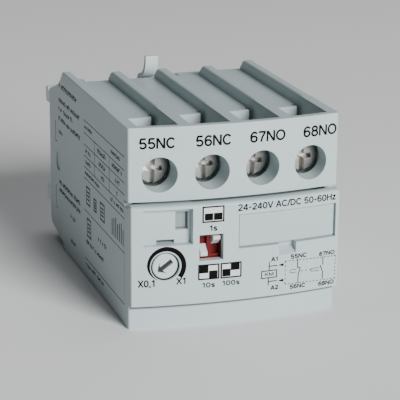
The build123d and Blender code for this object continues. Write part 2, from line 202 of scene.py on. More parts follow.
def platedSteel(name, look):
    # zinc plating: crystalline mottling and fine scratches
    material, tree, shader, place = startFinish(name)
    mottle = tree.noise(place, look["mottleSize"], detail=4.0, rough=0.6)
    stretched = tree.add("ShaderNodeMapping", {}, {"Vector": place, "Scale": look["scratchScale"]})
    scratch = tree.noise(stretched, plating["scratchSize"], detail=3.0, rough=0.6)
    colour = look["colour"]
    hue = tree.blend(mottle, tone(colour, plating["darkMottle"]), tone(colour, plating["paleMottle"]))
    scratched = tree.blend(scratch * plating["scratchCover"], hue, tone(colour, plating["scratchTone"]))
    tree.feed(shader.inputs["Base Color"], scratched)
    uneven = mottle * plating["mottleRough"] + scratch * plating["scratchRough"]
    tree.feed(shader.inputs["Roughness"], uneven + (look["roughness"] - plating["roughMiddle"]))
    shader.inputs["Metallic"].default_value = 1.0
    tree.emboss(shader, look["bump"], plating["bumpDeep"], scratch + mottle * plating["mottleBump"])
    return material


def circuitBoard(name, look):
    # solder mask over copper tracks, with tinned pads
    material, tree, shader, place = startFinish(name)
    cells = tree.add("ShaderNodeTexVoronoi", {"feature": "DISTANCE_TO_EDGE", "distance": "MANHATTAN"}, {
        "Vector": place, "Scale": 1 / (look["trackPitch"] * mm), "Randomness": look["trackScatter"]}, "Distance")
    dots = tree.add("ShaderNodeTexVoronoi", {}, {
        "Vector": place, "Scale": 1 / (look["padPitch"] * mm), "Randomness": look["padScatter"]}, "Distance")
    tracks = cells < look["trackEdge"]
    pads = dots < look["padEdge"]
    masked = tree.blend(tracks, look["mask"], look["overCopper"])
    tree.feed(shader.inputs["Base Color"], tree.blend(pads, masked, look["tin"]))
    tree.feed(shader.inputs["Metallic"], pads * look["padMetal"])
    uneven = tree.noise(place, look["cloudSize"]) * look["cloudRough"] + pads * look["padRough"]
    tree.feed(shader.inputs["Roughness"], uneven + look["roughness"])
    tree.emboss(shader, look["bump"], look["bumpDeep"], tracks * look["trackBump"] + pads)
    return material


def printingInk(name, look):
    # pad-printed ink: slightly uneven cover, matt
    material, tree, shader, place = startFinish(name)
    cover = tree.noise(place, look["unevenSize"], 3.0)
    tree.feed(shader.inputs["Base Color"], tree.blend(cover, look["colour"], look["thin"]))
    tree.feed(shader.inputs["Roughness"], cover * inking["coverRough"] + inking["roughness"])
    shader.inputs["Specular IOR Level"].default_value = look["gloss"]
    tree.emboss(shader, inking["bump"], inking["bumpDeep"], cover)
    return material


def plasticLook(colour, roughness=0.48, bump=0.35, gloss=0.45, grainSize=0.11, spread=0.025, dust=0.10,
                cloudSize=7.0):
    return dict(colour=colour, roughness=roughness, bump=bump, gloss=gloss, grainSize=grainSize,
                spread=spread, dust=dust, cloudSize=cloudSize)


def steelLook(colour, roughness=0.34, bump=0.4, mottleSize=0.5, scratchScale=(1, 6, 6)):
    return dict(colour=colour, roughness=roughness, bump=bump, mottleSize=mottleSize, scratchScale=scratchScale)


finishes = {  # by slot: colour, then roughness, bump, gloss and grain size where they differ
    "casing_grey": mouldedPlastic("caseGrey", plasticLook((0.462, 0.545, 0.556))),
    "base_white": mouldedPlastic("baseWhite", plasticLook((0.62, 0.70, 0.705), 0.40, 0.2)),
    "marker_grey": mouldedPlastic("markerGrey", plasticLook((0.436, 0.520, 0.530), 0.38, 0.12)),
    "indicator_grey": mouldedPlastic("indicatorGrey", plasticLook((0.245, 0.285, 0.29), 0.42, 0.2)),
    "knob_grey": mouldedPlastic("knobGrey", plasticLook((0.525, 0.60, 0.61), 0.38, 0.2)),
    "switch_red": mouldedPlastic("switchRed", plasticLook((0.115, 0.0015, 0.002), 0.40, 0.15, 0.3)),
    "slider_white": mouldedPlastic("sliderWhite", plasticLook((0.60, 0.63, 0.61), 0.40, 0.15)),
    "pot_black": mouldedPlastic("potBlack", plasticLook((0.018, 0.018, 0.020), 0.45)),
    "relay_black": mouldedPlastic("relayBlack", plasticLook((0.016, 0.016, 0.019), 0.32, 0.15, 0.5)),
    "connector_black": mouldedPlastic("connectorBlack", plasticLook((0.020, 0.020, 0.020), 0.50)),
    "capacitor_sleeve": mouldedPlastic("capacitorSleeve", plasticLook((0.012, 0.016, 0.05), 0.28, 0.1, 0.5)),
    "film_yellow": mouldedPlastic("filmYellow", plasticLook((0.62, 0.36, 0.03), 0.34, 0.15, 0.5)),
    "varistor_blue": mouldedPlastic("varistorBlue", plasticLook((0.02, 0.07, 0.30), 0.38, 0.5, 0.5, 0.4)),
    "resistor_body": mouldedPlastic("resistorBody", plasticLook((0.24, 0.34, 0.28), 0.45, 0.4, 0.4, 0.3)),
    "chip_black": mouldedPlastic("chipBlack", plasticLook((0.015, 0.015, 0.016), 0.55, 0.3)),
    "board_green": circuitBoard("boardGreen", boardLook),
    "screw_steel": platedSteel("screwSteel", steelLook((0.56, 0.54, 0.51), 0.36)),
    "clamp_steel": platedSteel("clampSteel", steelLook((0.60, 0.58, 0.54), 0.38)),
    "pin_steel": platedSteel("pinSteel", steelLook((0.60, 0.60, 0.60), 0.25)),
    "spring_steel": platedSteel("springSteel", steelLook((0.42, 0.42, 0.42), 0.32)),
    "terminal_brass": platedSteel("tinnedBrass", steelLook((0.68, 0.60, 0.42), 0.34)),
    "contact_brass": platedSteel("contactBrass", steelLook((0.72, 0.55, 0.27), 0.30)),
}
inkLooks = {
    "inkBlack": {"unevenSize": 0.5, "gloss": 0.08,
                 "colour": (0.001, 0.001, 0.0012, 1), "thin": (0.004, 0.004, 0.0045, 1)},
    "inkWhite": {"unevenSize": 0.5, "gloss": 0.3,
                 "colour": (0.62, 0.64, 0.64, 1), "thin": (0.70, 0.72, 0.72, 1)},
    # dark grey film for the knob's arrow recess: painted shade
    "arrowPaintedShade": {"unevenSize": 0.4, "gloss": 0.2,
                  "colour": (0.018, 0.020, 0.021, 1), "thin": (0.032, 0.036, 0.037, 1)},
}
inks = {name: printingInk(name, look) for name, look in inkLooks.items()}
for node, piece in frame["nodes"].items():
    for holder in piece.material_slots:
        holder.material = finishes[slotOf[node]]
print("finishes made:", len(finishes) + len(inks))


# meshes
def newPiece(name, bm, material=None):
    mesh = bpy.data.meshes.new(name)
    bm.to_mesh(mesh)
    bm.free()
    if material:
        mesh.materials.append(material)
    piece = bpy.data.objects.new(name, mesh)
    bpy.context.scene.collection.objects.link(piece)
    return piece


def flatten(piece):
    # what the modifiers give becomes the piece's own mesh
    look = bpy.context.evaluated_depsgraph_get()
    made = bpy.data.meshes.new_from_object(piece.evaluated_get(look))
    piece.modifiers.clear()
    piece.data = made
    return piece


def smoothFaces(piece, sharpOver):
    piece.data.shade_smooth()
    piece.data.set_sharp_from_angle(angle=math.radians(sharpOver))


def handOver(piece, node=None, body=None, slot=None):
    if node:
        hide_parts(node)
        body, slot = bodyOf[node], slotOf[node]
    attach(piece, body)
    return piece


edgeRounding = {  # node: the piece's name, the edge's width in mm
    "housing": ("caseShell", 0.13), "front_cover": ("frontCover", 0.13), "rear_base": ("rearBase", 0.12),
    "marker_plate": ("markerPlate", 0.08), "setting_knob": ("settingKnob", 0.06),
    "release_lever": ("releaseLever", 0.18), "position_indicator": ("positionIndicator", 0.08),
    "selector_switch_body": ("selectorBlock", 0.06), "selector_slider_left": ("leftSlider", 0.06),
    "selector_slider_right": ("rightSlider", 0.06), "potentiometer": ("potentiometerBody", 0.1),
    "relay_break_contact": ("breakRelay", 0.2), "relay_make_contact": ("makeRelay", 0.2),
    "film_capacitor": ("filmCapacitor", 0.3), "board_connector": ("boardConnector", 0.06),
    "rectifier": ("rectifierBody", 0.15), "controller_chip": ("controllerChip", 0.04),
    "coil_contact_a1": ("coilBladeA1", 0.08), "coil_contact_a2": ("coilBladeA2", 0.08),
    "front_board": ("frontBoard", 0.06), "main_board": ("mainBoard", 0.06), "latch_pin": ("latchPin", 0.12),
    "power_resistor": ("powerResistor", 0.08), "smoothing_capacitor": ("smoothingCapacitor", 0.1),
    "varistor": ("varistorDisc", 0.08),
}
for number in ("55", "56", "67", "68"):
    edgeRounding["terminal_plate_" + number] = ("terminalPlate" + number, 0.08)
    edgeRounding["wire_clamp_" + number] = ("wireClamp" + number, 0.05)
rounding = {"weld": 2e-6, "flatWithin": 0.6, "bevelOver": 38, "sharpOver": 50, "weight": 90}  # metres, degrees


def roundedCopy(node, name, width):
    bm = bmesh.new()
    bm.from_mesh(frame["nodes"][node].data)
    for layer in list(bm.loops.layers.float_vector):
        bm.loops.layers.float_vector.remove(layer)
    bmesh.ops.remove_doubles(bm, verts=bm.verts, dist=rounding["weld"])
    flatWithin = math.radians(rounding["flatWithin"])
    bmesh.ops.dissolve_limit(bm, angle_limit=flatWithin, verts=bm.verts, edges=bm.edges)
    piece = newPiece(name, bm, finishes[slotOf[node]])
    if "custom_normal" in piece.data.attributes:
        piece.data.attributes.remove(piece.data.attributes["custom_normal"])
    edge = piece.modifiers.new("edges", "BEVEL")
    edge.width, edge.segments = width * mm, 2
    edge.limit_method, edge.angle_limit = "ANGLE", math.radians(rounding["bevelOver"])
    edge.use_clamp_overlap = True
    edge.harden_normals = False
    flatten(piece)
    smoothFaces(piece, rounding["sharpOver"])
    weigh = piece.modifiers.new("flat faces", "WEIGHTED_NORMAL")
    weigh.keep_sharp, weigh.weight = True, rounding["weight"]
    flatten(piece)
    return handOver(piece, node)


for node, (name, width) in edgeRounding.items():
    roundedCopy(node, name, width)
print("edges rounded:", len(edgeRounding))


# letters as strokes: width, then paths in a cell one high
def arc(x, y, wide, tall, start, end, count=14):
    turn = [math.radians(start + (end - start) * i / count) for i in range(count + 1)]
    return [(x + wide * math.cos(a), y + tall * math.sin(a)) for a in turn]


def ring(x, y, wide, tall):
    return arc(x, y, wide, tall, 90, 450, 24)


letters = {
    "0": (0.60, [ring(0.30, 0.5, 0.235, 0.435)]),
    "1": (0.40, [[(0.27, 0), (0.27, 1)], [(0.25, 0.92), (0.04, 0.74)]]),
    "2": (0.60, [arc(0.30, 0.69, 0.23, 0.245, 165, -42), [(0.48, 0.54), (0.07, 0.07)],
                 [(0.02, 0.065), (0.57, 0.065)]]),
    "4": (0.62, [[(0.45, 0), (0.45, 1)], [(0.43, 0.94), (0.05, 0.27)], [(0.01, 0.26), (0.61, 0.26)]]),
    "5": (0.60, [[(0.54, 0.935), (0.13, 0.935)], [(0.15, 0.96), (0.08, 0.46)],
                 arc(0.30, 0.32, 0.235, 0.255, 148, -155)]),
    "6": (0.60, [ring(0.31, 0.32, 0.225, 0.255), arc(0.34, 0.5, 0.27, 0.435, 42, 205)]),
    "7": (0.58, [[(0.02, 0.935), (0.57, 0.935)], [(0.54, 0.92), (0.31, 0.45)], [(0.315, 0.47), (0.21, 0)]]),
    "8": (0.60, [ring(0.30, 0.735, 0.195, 0.20), ring(0.30, 0.30, 0.235, 0.235)]),
    "A": (0.72, [[(0.05, 0), (0.36, 1)], [(0.36, 1), (0.67, 0)], [(0.15, 0.31), (0.57, 0.31)]]),
    "C": (0.70, [arc(0.38, 0.5, 0.31, 0.435, 38, 322, 20)]),
    "D": (0.70, [[(0.075, 0), (0.075, 1)], [(0.05, 0.935), (0.30, 0.935)], arc(0.29, 0.5, 0.34, 0.435, 90, -90),
                 [(0.30, 0.065), (0.05, 0.065)]]),
    "H": (0.70, [[(0.075, 0), (0.075, 1)], [(0.625, 0), (0.625, 1)], [(0.07, 0.52), (0.63, 0.52)]]),
    "K": (0.68, [[(0.075, 0), (0.075, 1)], [(0.62, 1), (0.08, 0.38)], [(0.26, 0.60), (0.64, 0)]]),
    "M": (0.80, [[(0.07, 0), (0.07, 1)], [(0.08, 1), (0.40, 0.05)], [(0.40, 0.05), (0.72, 1)],
                 [(0.73, 1), (0.73, 0)]]),
    "N": (0.70, [[(0.075, 0), (0.075, 1)], [(0.09, 0.98), (0.61, 0.02)], [(0.625, 0), (0.625, 1)]]),
    "O": (0.78, [ring(0.39, 0.5, 0.325, 0.435)]),
    "V": (0.68, [[(0.04, 1), (0.34, 0)], [(0.34, 0), (0.64, 1)]]),
    "X": (0.66, [[(0.04, 1), (0.62, 0)], [(0.62, 1), (0.04, 0)]]),
    "s": (0.50, [arc(0.25, 0.535, 0.17, 0.135, 20, 265) + arc(0.25, 0.20, 0.18, 0.14, 85, -160)]),
    "z": (0.50, [[(0.03, 0.66), (0.47, 0.66)], [(0.43, 0.66), (0.06, 0.06)], [(0.02, 0.06), (0.48, 0.06)]]),
    "/": (0.30, [[(0.0, -0.02), (0.30, 1.0)]]),
    "-": (0.40, [[(0.04, 0.42), (0.36, 0.42)]]),
    ",": (0.28, [[(0.15, 0.14), (0.08, -0.14)]]),
    " ": (0.25, []),
}

# printing: thin closed films laid on the bowed front and on the left side, in mm
# weld is in metres, letterGap in the cells of the letters
film = {"thick": 0.03, "sunk": 0.012, "step": 1.0, "sideX": -22.5, "weld": 1e-7, "letterGap": 0.07}


def onFront(proud):
    def place(u, v, w):
        y = bowRadius - bowDepth - proud - math.sqrt(bowRadius ** 2 - u * u) - centreY
        return Vector((u, y - (w * film["thick"] - film["sunk"]), v)) * mm
    return place


def onLeft(u, v, w):  # u runs from rear to front
    return Vector((film["sideX"] - (w * film["thick"] - film["sunk"]), -u, v)) * mm


class Printing:
    def __init__(self, name, place):
        self.name, self.place, self.bm = name, place, bmesh.new()

    def solid(self, rim):
        # rim runs anticlockwise seen from outside, its second half back beside its first
        low = [self.bm.verts.new(self.place(u, v, 0)) for u, v in rim]
        high = [self.bm.verts.new(self.place(u, v, 1)) for u, v in rim]
        count = len(rim)
        half = count // 2
        for level, turn in ((high, 1), (low, -1)):
            for i in range(half - 1):
                face = [level[i], level[i + 1], level[count - 2 - i], level[count - 1 - i]]
                self.bm.faces.new(face[::turn])
        for i in range(count):
            j = (i + 1) % count
            self.bm.faces.new((low[i], low[j], high[j], high[i]))

    def strip(self, path, widths):
        # a band of varying width along a path
        left, right = [], []
        for i, (u, v) in enumerate(path):
            before, after = path[max(i - 1, 0)], path[min(i + 1, len(path) - 1)]
            du, dv = after[0] - before[0], after[1] - before[1]
            size = math.hypot(du, dv)
            side = (-dv / size * widths[i] / 2, du / size * widths[i] / 2)
            left.append((u + side[0], v + side[1]))
            right.append((u - side[0], v - side[1]))
        self.solid(right + left[::-1])

    def line(self, start, end, width):
        length = math.hypot(end[0] - start[0], end[1] - start[1])
        steps = max(1, round(length / film["step"]))
        path = [(start[0] + (end[0] - start[0]) * i / steps, start[1] + (end[1] - start[1]) * i / steps)
                for i in range(steps + 1)]
        self.strip(path, [width] * len(path))

    def patch(self, low, high):
        middle = (low[1] + high[1]) / 2
        self.line((low[0], middle), (high[0], middle), high[1] - low[1])

    def frameBox(self, low, high, width):
        half = width / 2
        for v in (low[1], high[1]):
            self.line((low[0] - half, v), (high[0] + half, v), width)
        for u in (low[0], high[0]):
            self.line((u, low[1] + half), (u, high[1] - half), width)

    def word(self, text, low, high, weight):
        # each letter's paths are laid as bands, fitted between the two corners
        gap, at = film["letterGap"], 0.0
        whole = sum(letters[c][0] + gap for c in text) - gap
        wide, tall = (high[0] - low[0]) / whole, high[1] - low[1]
        for c in text:
            for path in letters[c][1]:
                points = [(low[0] + (at + x) * wide, low[1] + y * tall) for x, y in path]
                self.strip(points, [weight * tall] * len(points))
            at += letters[c][0] + gap

    def join(self, mesh):
        self.bm.from_mesh(mesh)

    def finish(self, body="timer", ink="inkBlack", slot="pot_black"):
        bmesh.ops.remove_doubles(self.bm, verts=self.bm.verts, dist=film["weld"])
        bmesh.ops.recalc_face_normals(self.bm, faces=self.bm.faces)
        return handOver(newPiece(self.name, self.bm, inks[ink]), body=body, slot=slot)


# terminal numbers, one above each screw
terminalMarks = {"low": 37.95, "high": 40.15, "weight": 0.185, "words": {
    "55NC": (-20.3, -13.1), "56NC": (-8.9, -1.5), "67NO": (2.5, 10.2), "68NO": (14.3, 22.0)}}
marks = Printing("terminalNumbers", onFront(0))
for text, (left, right) in terminalMarks["words"].items():
    marks.word(text, (left, terminalMarks["low"]), (right, terminalMarks["high"]), terminalMarks["weight"])
marks.finish()

# dial scale, range pictures and rating on the cover
dial = {"centre": (-15.5, 13.9), "inner": 3.2, "from": 240, "to": -40, "steps": 56,
        "outer": [(240, 3.27), (180, 3.78), (90, 4.15), (-40, 4.22)],
        "words": {"X0,1": ((-21.09, 9.69), (-17.69, 11.15)), "X1": ((-13.34, 9.91), (-11.36, 11.27))}}
cover = Printing("coverPrinting", onFront(coverProud))
path, widths = [], []
for i in range(dial["steps"] + 1):
    angle = dial["from"] + (dial["to"] - dial["from"]) * i / dial["steps"]
    for (a0, r0), (a1, r1) in zip(dial["outer"], dial["outer"][1:]):
        if a1 <= angle <= a0:
            outer = r0 + (r1 - r0) * (a0 - angle) / (a0 - a1)
    middle = (dial["inner"] + outer) / 2
    path.append((dial["centre"][0] + middle * math.cos(math.radians(angle)),
                 dial["centre"][1] + middle * math.sin(math.radians(angle))))
    widths.append(outer - dial["inner"])
cover.strip(path, widths)
coverWeights = {"scale": 0.19, "range": 0.22, "circuit": 0.24, "coil": 0.22}  # stroke over letter height
for text, corners in dial["words"].items():
    cover.word(text, *corners, coverWeights["scale"])
rangePictures = [
    {"frame": ((-7.91, 22.73), (-3.61, 25.84)),
     "squares": [((-7.48, 23.17), (-5.91, 24.35)), ((-5.59, 23.17), (-3.96, 24.35))],
     "text": "1s", "at": ((-6.53, 20.81), (-4.89, 21.93))},
    {"frame": ((-8.70, 10.60), (-4.53, 13.59)),
     "squares": [((-8.46, 12.02), (-6.78, 13.32)), ((-6.48, 10.83), (-4.85, 12.17))],
     "text": "10s", "at": ((-7.98, 8.79), (-5.26, 9.80))},
    {"frame": ((-3.97, 10.56), (0.23, 13.59)),
     "squares": [((-1.88, 12.17), (-0.13, 13.33)), ((-3.66, 10.96), (-2.07, 12.25))],
     "text": "100s", "at": ((-3.74, 8.87), (0.01, 9.86))},
]
rangeLook = {"line": 0.3, "whiteSunk": 0.015, "bleed": (0.08, 0.14)}  # bleed: how far a square's ink runs out
whites = Printing("rangeFields", onFront(coverProud - rangeLook["whiteSunk"]))
for picture in rangePictures:
    cover.frameBox(*picture["frame"], rangeLook["line"])
    across, up = rangeLook["bleed"]
    for low, high in picture["squares"]:
        cover.patch((low[0] - across, low[1] - up), (high[0] + across, high[1] + up))
    cover.word(picture["text"], *picture["at"], coverWeights["range"])
    whites.patch(*picture["frame"])
whites.finish(ink="inkWhite", slot="slider_white")
cover.word("24-240V AC/DC 50-60Hz", (-0.6, 24.5), (21.45, 25.85), coverWeights["scale"])

# the knob's arrow recess is filled with a dark grey film, painted shade for the shadow in the recess, and a
# black ring film lies in the gap round the knob, painted shade for the shadow in the gap
knobMarks = {"centre": (-15.55, 13.85), "turn": 215, "arrowFace": -2.42, "arrowRear": -2.02,
             "ring": (2.72, 2.93), "ringFace": -2.72, "ringRear": -2.3, "ringCorners": 72, "bevel": 0.03,
             "bevelOver": 1.2}  # radians
arrow = [(-1.68, -0.44), (0.98, -0.44), (0.66, -1.26), (1.84, 0), (0.66, 1.26), (0.98, 0.44), (-1.68, 0.44)]


def slab(name, rim, front, rear, material, body, slot):
    bm = bmesh.new()
    near = [bm.verts.new(Vector((x, front - centreY, z)) * mm) for x, z in rim]
    far = [bm.verts.new(Vector((x, rear - centreY, z)) * mm) for x, z in rim]
    bm.faces.new(near)
    bm.faces.new(far[::-1])
    for i in range(len(rim)):
        j = (i + 1) % len(rim)
        bm.faces.new((near[i], far[i], far[j], near[j]))
    bmesh.ops.recalc_face_normals(bm, faces=bm.faces)
    corners = [edge for edge in bm.edges if abs(edge.calc_face_angle(0)) > knobMarks["bevelOver"]]
    bmesh.ops.bevel(bm, geom=corners, offset=knobMarks["bevel"] * mm, segments=1, affect="EDGES")
    return handOver(newPiece(name, bm, material), body=body, slot=slot)


turn = math.radians(knobMarks["turn"])
rim = [(knobMarks["centre"][0] + x * math.cos(turn) - z * math.sin(turn),
        knobMarks["centre"][1] + x * math.sin(turn) + z * math.cos(turn)) for x, z in arrow]
slab("knobArrow", rim, knobMarks["arrowFace"], knobMarks["arrowRear"], inks["arrowPaintedShade"], "knob", "pot_black")
# a thin black ring in the knob's gap: painted shade standing in for the shadow of a deep slot
bm = bmesh.new()
(inner, outer), front, rear = knobMarks["ring"], knobMarks["ringFace"], knobMarks["ringRear"]
(middleX, middleZ), count = knobMarks["centre"], knobMarks["ringCorners"]
circles = []
for radius, y in ((inner, front), (outer, front), (outer, rear), (inner, rear)):
    circles.append([bm.verts.new(Vector((middleX + radius * math.cos(math.tau * i / count), y - centreY,
                                         middleZ + radius * math.sin(math.tau * i / count))) * mm)
                    for i in range(count)])
for one, two in zip(circles, circles[1:] + circles[:1]):
    for i in range(count):
        j = (i + 1) % count
        bm.faces.new((one[i], one[j], two[j], two[i]))
bmesh.ops.recalc_face_normals(bm, faces=bm.faces)
handOver(newPiece("knobGapPaintedShade", bm, inks["inkBlack"]), body="timer", slot="pot_black")

# circuit picture: coil plug, a break contact, a make contact and the delay link between them
circuit = {"line": 0.2, "cupLine": 0.12, "cupHalf": 0.3, "arrow": [0.12, 0.62], "pitch": 0.85, "dash": 0.42,
           "dashWide": 0.8}  # dashWide is a share of line
cover.word("A1", (6.87, 12.92), (8.40, 13.82), coverWeights["circuit"])
cover.word("A2", (6.89, 6.78), (8.55, 7.66), coverWeights["circuit"])
cover.frameBox((4.79, 9.46), (8.15, 10.98), circuit["line"])
cover.word("KM", (5.50, 9.88), (7.47, 10.60), coverWeights["coil"])
for start, end in [
        ((6.45, 11.0), (6.45, 12.86)), ((6.30, 7.83), (6.30, 9.40)), ((6.45, 11.93), (8.3, 11.93)),
        ((6.30, 8.64), (8.19, 8.64)), ((12.9, 10.85), (12.9, 12.80)), ((13.08, 7.46), (13.08, 9.2)),
        ((13.08, 9.2), (13.55, 10.75)), ((12.9, 10.85), (13.5, 10.85)), ((18.84, 10.64), (18.84, 12.38)),
        ((18.83, 7.48), (18.83, 9.12)), ((18.83, 9.12), (18.23, 10.58))]:
    cover.line(start, end, circuit["line"])
for v in (11.92, 8.55):  # plug arrows
    cover.strip([(8.62, v), (9.7, v)], circuit["arrow"])
for left, right, v in ((11.46, 12.7, 10.2), (16.3, 18.0, 9.86)):  # delay cups
    half, wide = circuit["cupHalf"], circuit["cupLine"]
    cover.line((left, v + half), (right, v + half), wide)
    cover.line((left, v - half), (right, v - half), wide)
    bend = [(left - half * math.sin(math.radians(a)), v + half * math.cos(math.radians(a)))
            for a in range(0, 181, 20)]
    cover.strip(bend, [wide] * len(bend))
for text, corners in {"55NC": ((11.28, 12.95), (14.97, 13.85)), "56NC": ((11.23, 6.4), (14.82, 7.25)),
                      "67NO": ((17.9, 12.65), (21.6, 13.5)), "68NO": ((17.9, 6.1), (21.6, 6.95))}.items():
    cover.word(text, *corners, coverWeights["circuit"])


# dashes and small type are repeated shapes, so nodes lay them
def nodeGroup(name, inputs):
    group = bpy.data.node_groups.new(name, "GeometryNodeTree")
    group.interface.new_socket("Geometry", in_out="OUTPUT", socket_type="NodeSocketGeometry")
    for title, kind in inputs:
        group.interface.new_socket(title, in_out="INPUT", socket_type="NodeSocket" + kind)
    tree = Tree(group)
    entry = tree.nodes.new("NodeGroupInput")
    ports = {title: Wire(tree, entry.outputs[title]) for title, kind in inputs}
    return group, tree, ports


def endGroup(tree, geometry, material):
    real = tree.add("GeometryNodeRealizeInstances", {}, {"Geometry": geometry})
    done = tree.add("GeometryNodeSetMaterial", {}, {"Geometry": real, "Material": material})
    outlet = tree.nodes.new("NodeGroupOutput")
    tree.feed(outlet.inputs["Geometry"], done)


def runGroup(group, name, values):
    holder = newPiece(name, bmesh.new())
    nodes = holder.modifiers.new("nodes", "NODES")
    nodes.node_group = group
    for item in group.interface.items_tree:
        if item.in_out == "INPUT" and item.name in values:
            nodes[item.identifier] = values[item.name]
    return flatten(holder)


def dashGroup():
    group, tree, port = nodeGroup("dashes", [
        ("Start", "Vector"), ("End", "Vector"), ("Count", "Int"), ("Dash", "Vector"), ("Bow centre", "Float"),
        ("Bow radius", "Float"), ("Material", "Material")])
    line = tree.add("GeometryNodeMeshLine", {"mode": "END_POINTS"},
                    {"Count": port["Count"], "Start Location": port["Start"], "Offset": port["End"]})
    bar = tree.add("GeometryNodeMeshCube", {}, {"Size": port["Dash"]})
    laid = tree.add("GeometryNodeInstanceOnPoints", {}, {"Points": line, "Instance": bar})
    real = tree.add("GeometryNodeRealizeInstances", {}, {"Geometry": laid})
    x = tree.add("ShaderNodeSeparateXYZ", {}, {"Vector": tree.add("GeometryNodeInputPosition")})
    drop = port["Bow centre"] - (port["Bow radius"] * port["Bow radius"] - x * x).root()
    bent = tree.add("GeometryNodeSetPosition", {}, {"Geometry": real, "Offset": tree.vector(Y=drop)})
    endGroup(tree, bent, port["Material"])
    return group


def dashedLine(printing, start, end):
    length = math.hypot(end[0] - start[0], end[1] - start[1])
    flat = abs(end[0] - start[0]) > abs(end[1] - start[1])
    dash, wide = circuit["dash"], circuit["line"] * circuit["dashWide"]
    size = (dash, film["thick"], wide) if flat else (wide, film["thick"], dash)
    made = runGroup(dashes, "dashRun", {
        "Start": Vector((start[0], 0, start[1])) * mm, "End": Vector((end[0], 0, end[1])) * mm,
        "Count": max(2, round(length / circuit["pitch"]) + 1), "Dash": Vector(size) * mm,
        "Bow centre": (bowRadius - bowDepth - coverProud - centreY) * mm, "Bow radius": bowRadius * mm,
        "Material": inks["inkBlack"]})
    printing.join(made.data)
    bpy.data.objects.remove(made)


dashes = dashGroup()
for start, end in [((10.2, 12.6), (21.7, 12.2)), ((10.2, 7.6), (21.7, 7.2)), ((10.1, 7.9), (10.1, 12.4)),
                   ((21.8, 7.3), (21.8, 12.1)), ((13.9, 10.0), (16.0, 10.0))]:
    dashedLine(cover, start, end)
cover.finish()
print("front printing done")


# left side: a ruled table with rows of bars and blocks where words would be
# x is in mm, the others but seed are shares of the height, of the stroke or of the count
typeLook = {"x": -22.506, "pitch": 0.62, "stroke": 0.22, "seed": 11, "gaps": 0.14, "shortest": 0.62,
            "lift": 0.42, "blockWide": 1.1, "blockTall": 1.3, "blockShift": -1.45}


def rowGroup():
    group, tree, port = nodeGroup("smallType", [("Start", "Vector"), ("End", "Vector"), ("Count", "Int"),
                                                ("Height", "Float"), ("Stroke", "Float"), ("Thick", "Float"),
                                                ("Seed", "Int"), ("Material", "Material")])
    line = tree.add("GeometryNodeMeshLine", {"mode": "END_POINTS"},
                    {"Count": port["Count"], "Start Location": port["Start"], "Offset": port["End"]})
    gap = tree.add("FunctionNodeRandomValue", {"data_type": "BOOLEAN"},
                   {"Probability": typeLook["gaps"], "Seed": port["Seed"]}, 3)
    words = tree.add("GeometryNodeDeleteGeometry", {"domain": "POINT"}, {"Geometry": line, "Selection": gap})
    upright = tree.add("GeometryNodeMeshCube", {}, {
        "Size": tree.vector(X=port["Thick"], Y=port["Stroke"], Z=port["Height"])})
    block = tree.add("GeometryNodeMeshCube", {}, {"Size": tree.vector(
        X=port["Thick"], Y=port["Stroke"] * typeLook["blockWide"], Z=port["Stroke"] * typeLook["blockTall"])})
    tall = tree.add("FunctionNodeRandomValue", {"data_type": "FLOAT"},
                    {"Min": typeLook["shortest"], "Max": 1.0, "Seed": port["Seed"]}, 1)
    lift = tree.add("FunctionNodeRandomValue", {"data_type": "FLOAT"},
                    {"Min": -typeLook["lift"], "Max": typeLook["lift"], "Seed": port["Seed"]}, 1)
    first = tree.add("GeometryNodeInstanceOnPoints", {}, {
        "Points": words, "Instance": upright, "Scale": tree.vector(X=1.0, Y=1.0, Z=tall)})
    shifted = tree.add("GeometryNodeSetPosition", {}, {"Geometry": words, "Offset": tree.vector(
        Y=port["Stroke"] * typeLook["blockShift"], Z=lift * port["Height"])})
    second = tree.add("GeometryNodeInstanceOnPoints", {}, {"Points": shifted, "Instance": block})
    endGroup(tree, tree.together((first, second)), port["Material"])
    return group


side = Printing("sideTable", onLeft)
smallType = rowGroup()
sideRows = [  # rear end, front end (mm behind the front corners), height of the row's middle, letter height
    (56.0, 40.5, 38.5, 1.3), (55.6, 38.0, 35.1, 1.1), (55.8, 44.0, 33.0, 1.1), (56.0, 37.5, 30.7, 1.1),
    (56.0, 52.6, 27.6, 1.1), (33.0, 27.5, 34.4, 0.9), (32.4, 28.8, 29.2, 1.0), (32.4, 28.8, 26.7, 1.0),
    (33.0, 22.0, 24.2, 0.9), (12.2, 6.0, 34.4, 0.9), (22.6, 16.8, 31.8, 1.2), (11.4, 4.8, 31.8, 1.2),
    (21.6, 17.4, 29.2, 1.2), (9.0, 6.6, 29.2, 1.2), (20.8, 18.0, 26.6, 1.1), (8.0, 7.0, 26.6, 1.1),
    (12.8, 3.6, 24.2, 0.9), (56.0, 38.0, 15.6, 1.2), (56.0, 38.0, 13.7, 1.2), (33.0, 19.0, 8.7, 1.0),
    (33.0, 19.0, 3.3, 0.9), (22.4, 16.8, 12.2, 1.1), (46.0, 42.5, 4.5, 1.0), (46.0, 42.5, 10.3, 1.2),
]
for number, (rear, front, level, tall) in enumerate(sideRows):
    made = runGroup(smallType, "typeRow", {
        "Start": Vector((typeLook["x"], rear - centreY, level)) * mm,
        "End": Vector((typeLook["x"], front - centreY, level)) * mm,
        "Count": max(3, round((rear - front) / (tall * typeLook["pitch"]))), "Height": tall * mm,
        "Stroke": tall * typeLook["stroke"] * mm, "Thick": film["thick"] * mm,
        "Seed": typeLook["seed"] + number, "Material": inks["inkBlack"]})
    side.join(made.data)
    bpy.data.objects.remove(made)


def sidePoint(y, z):
    return centreY - y, z


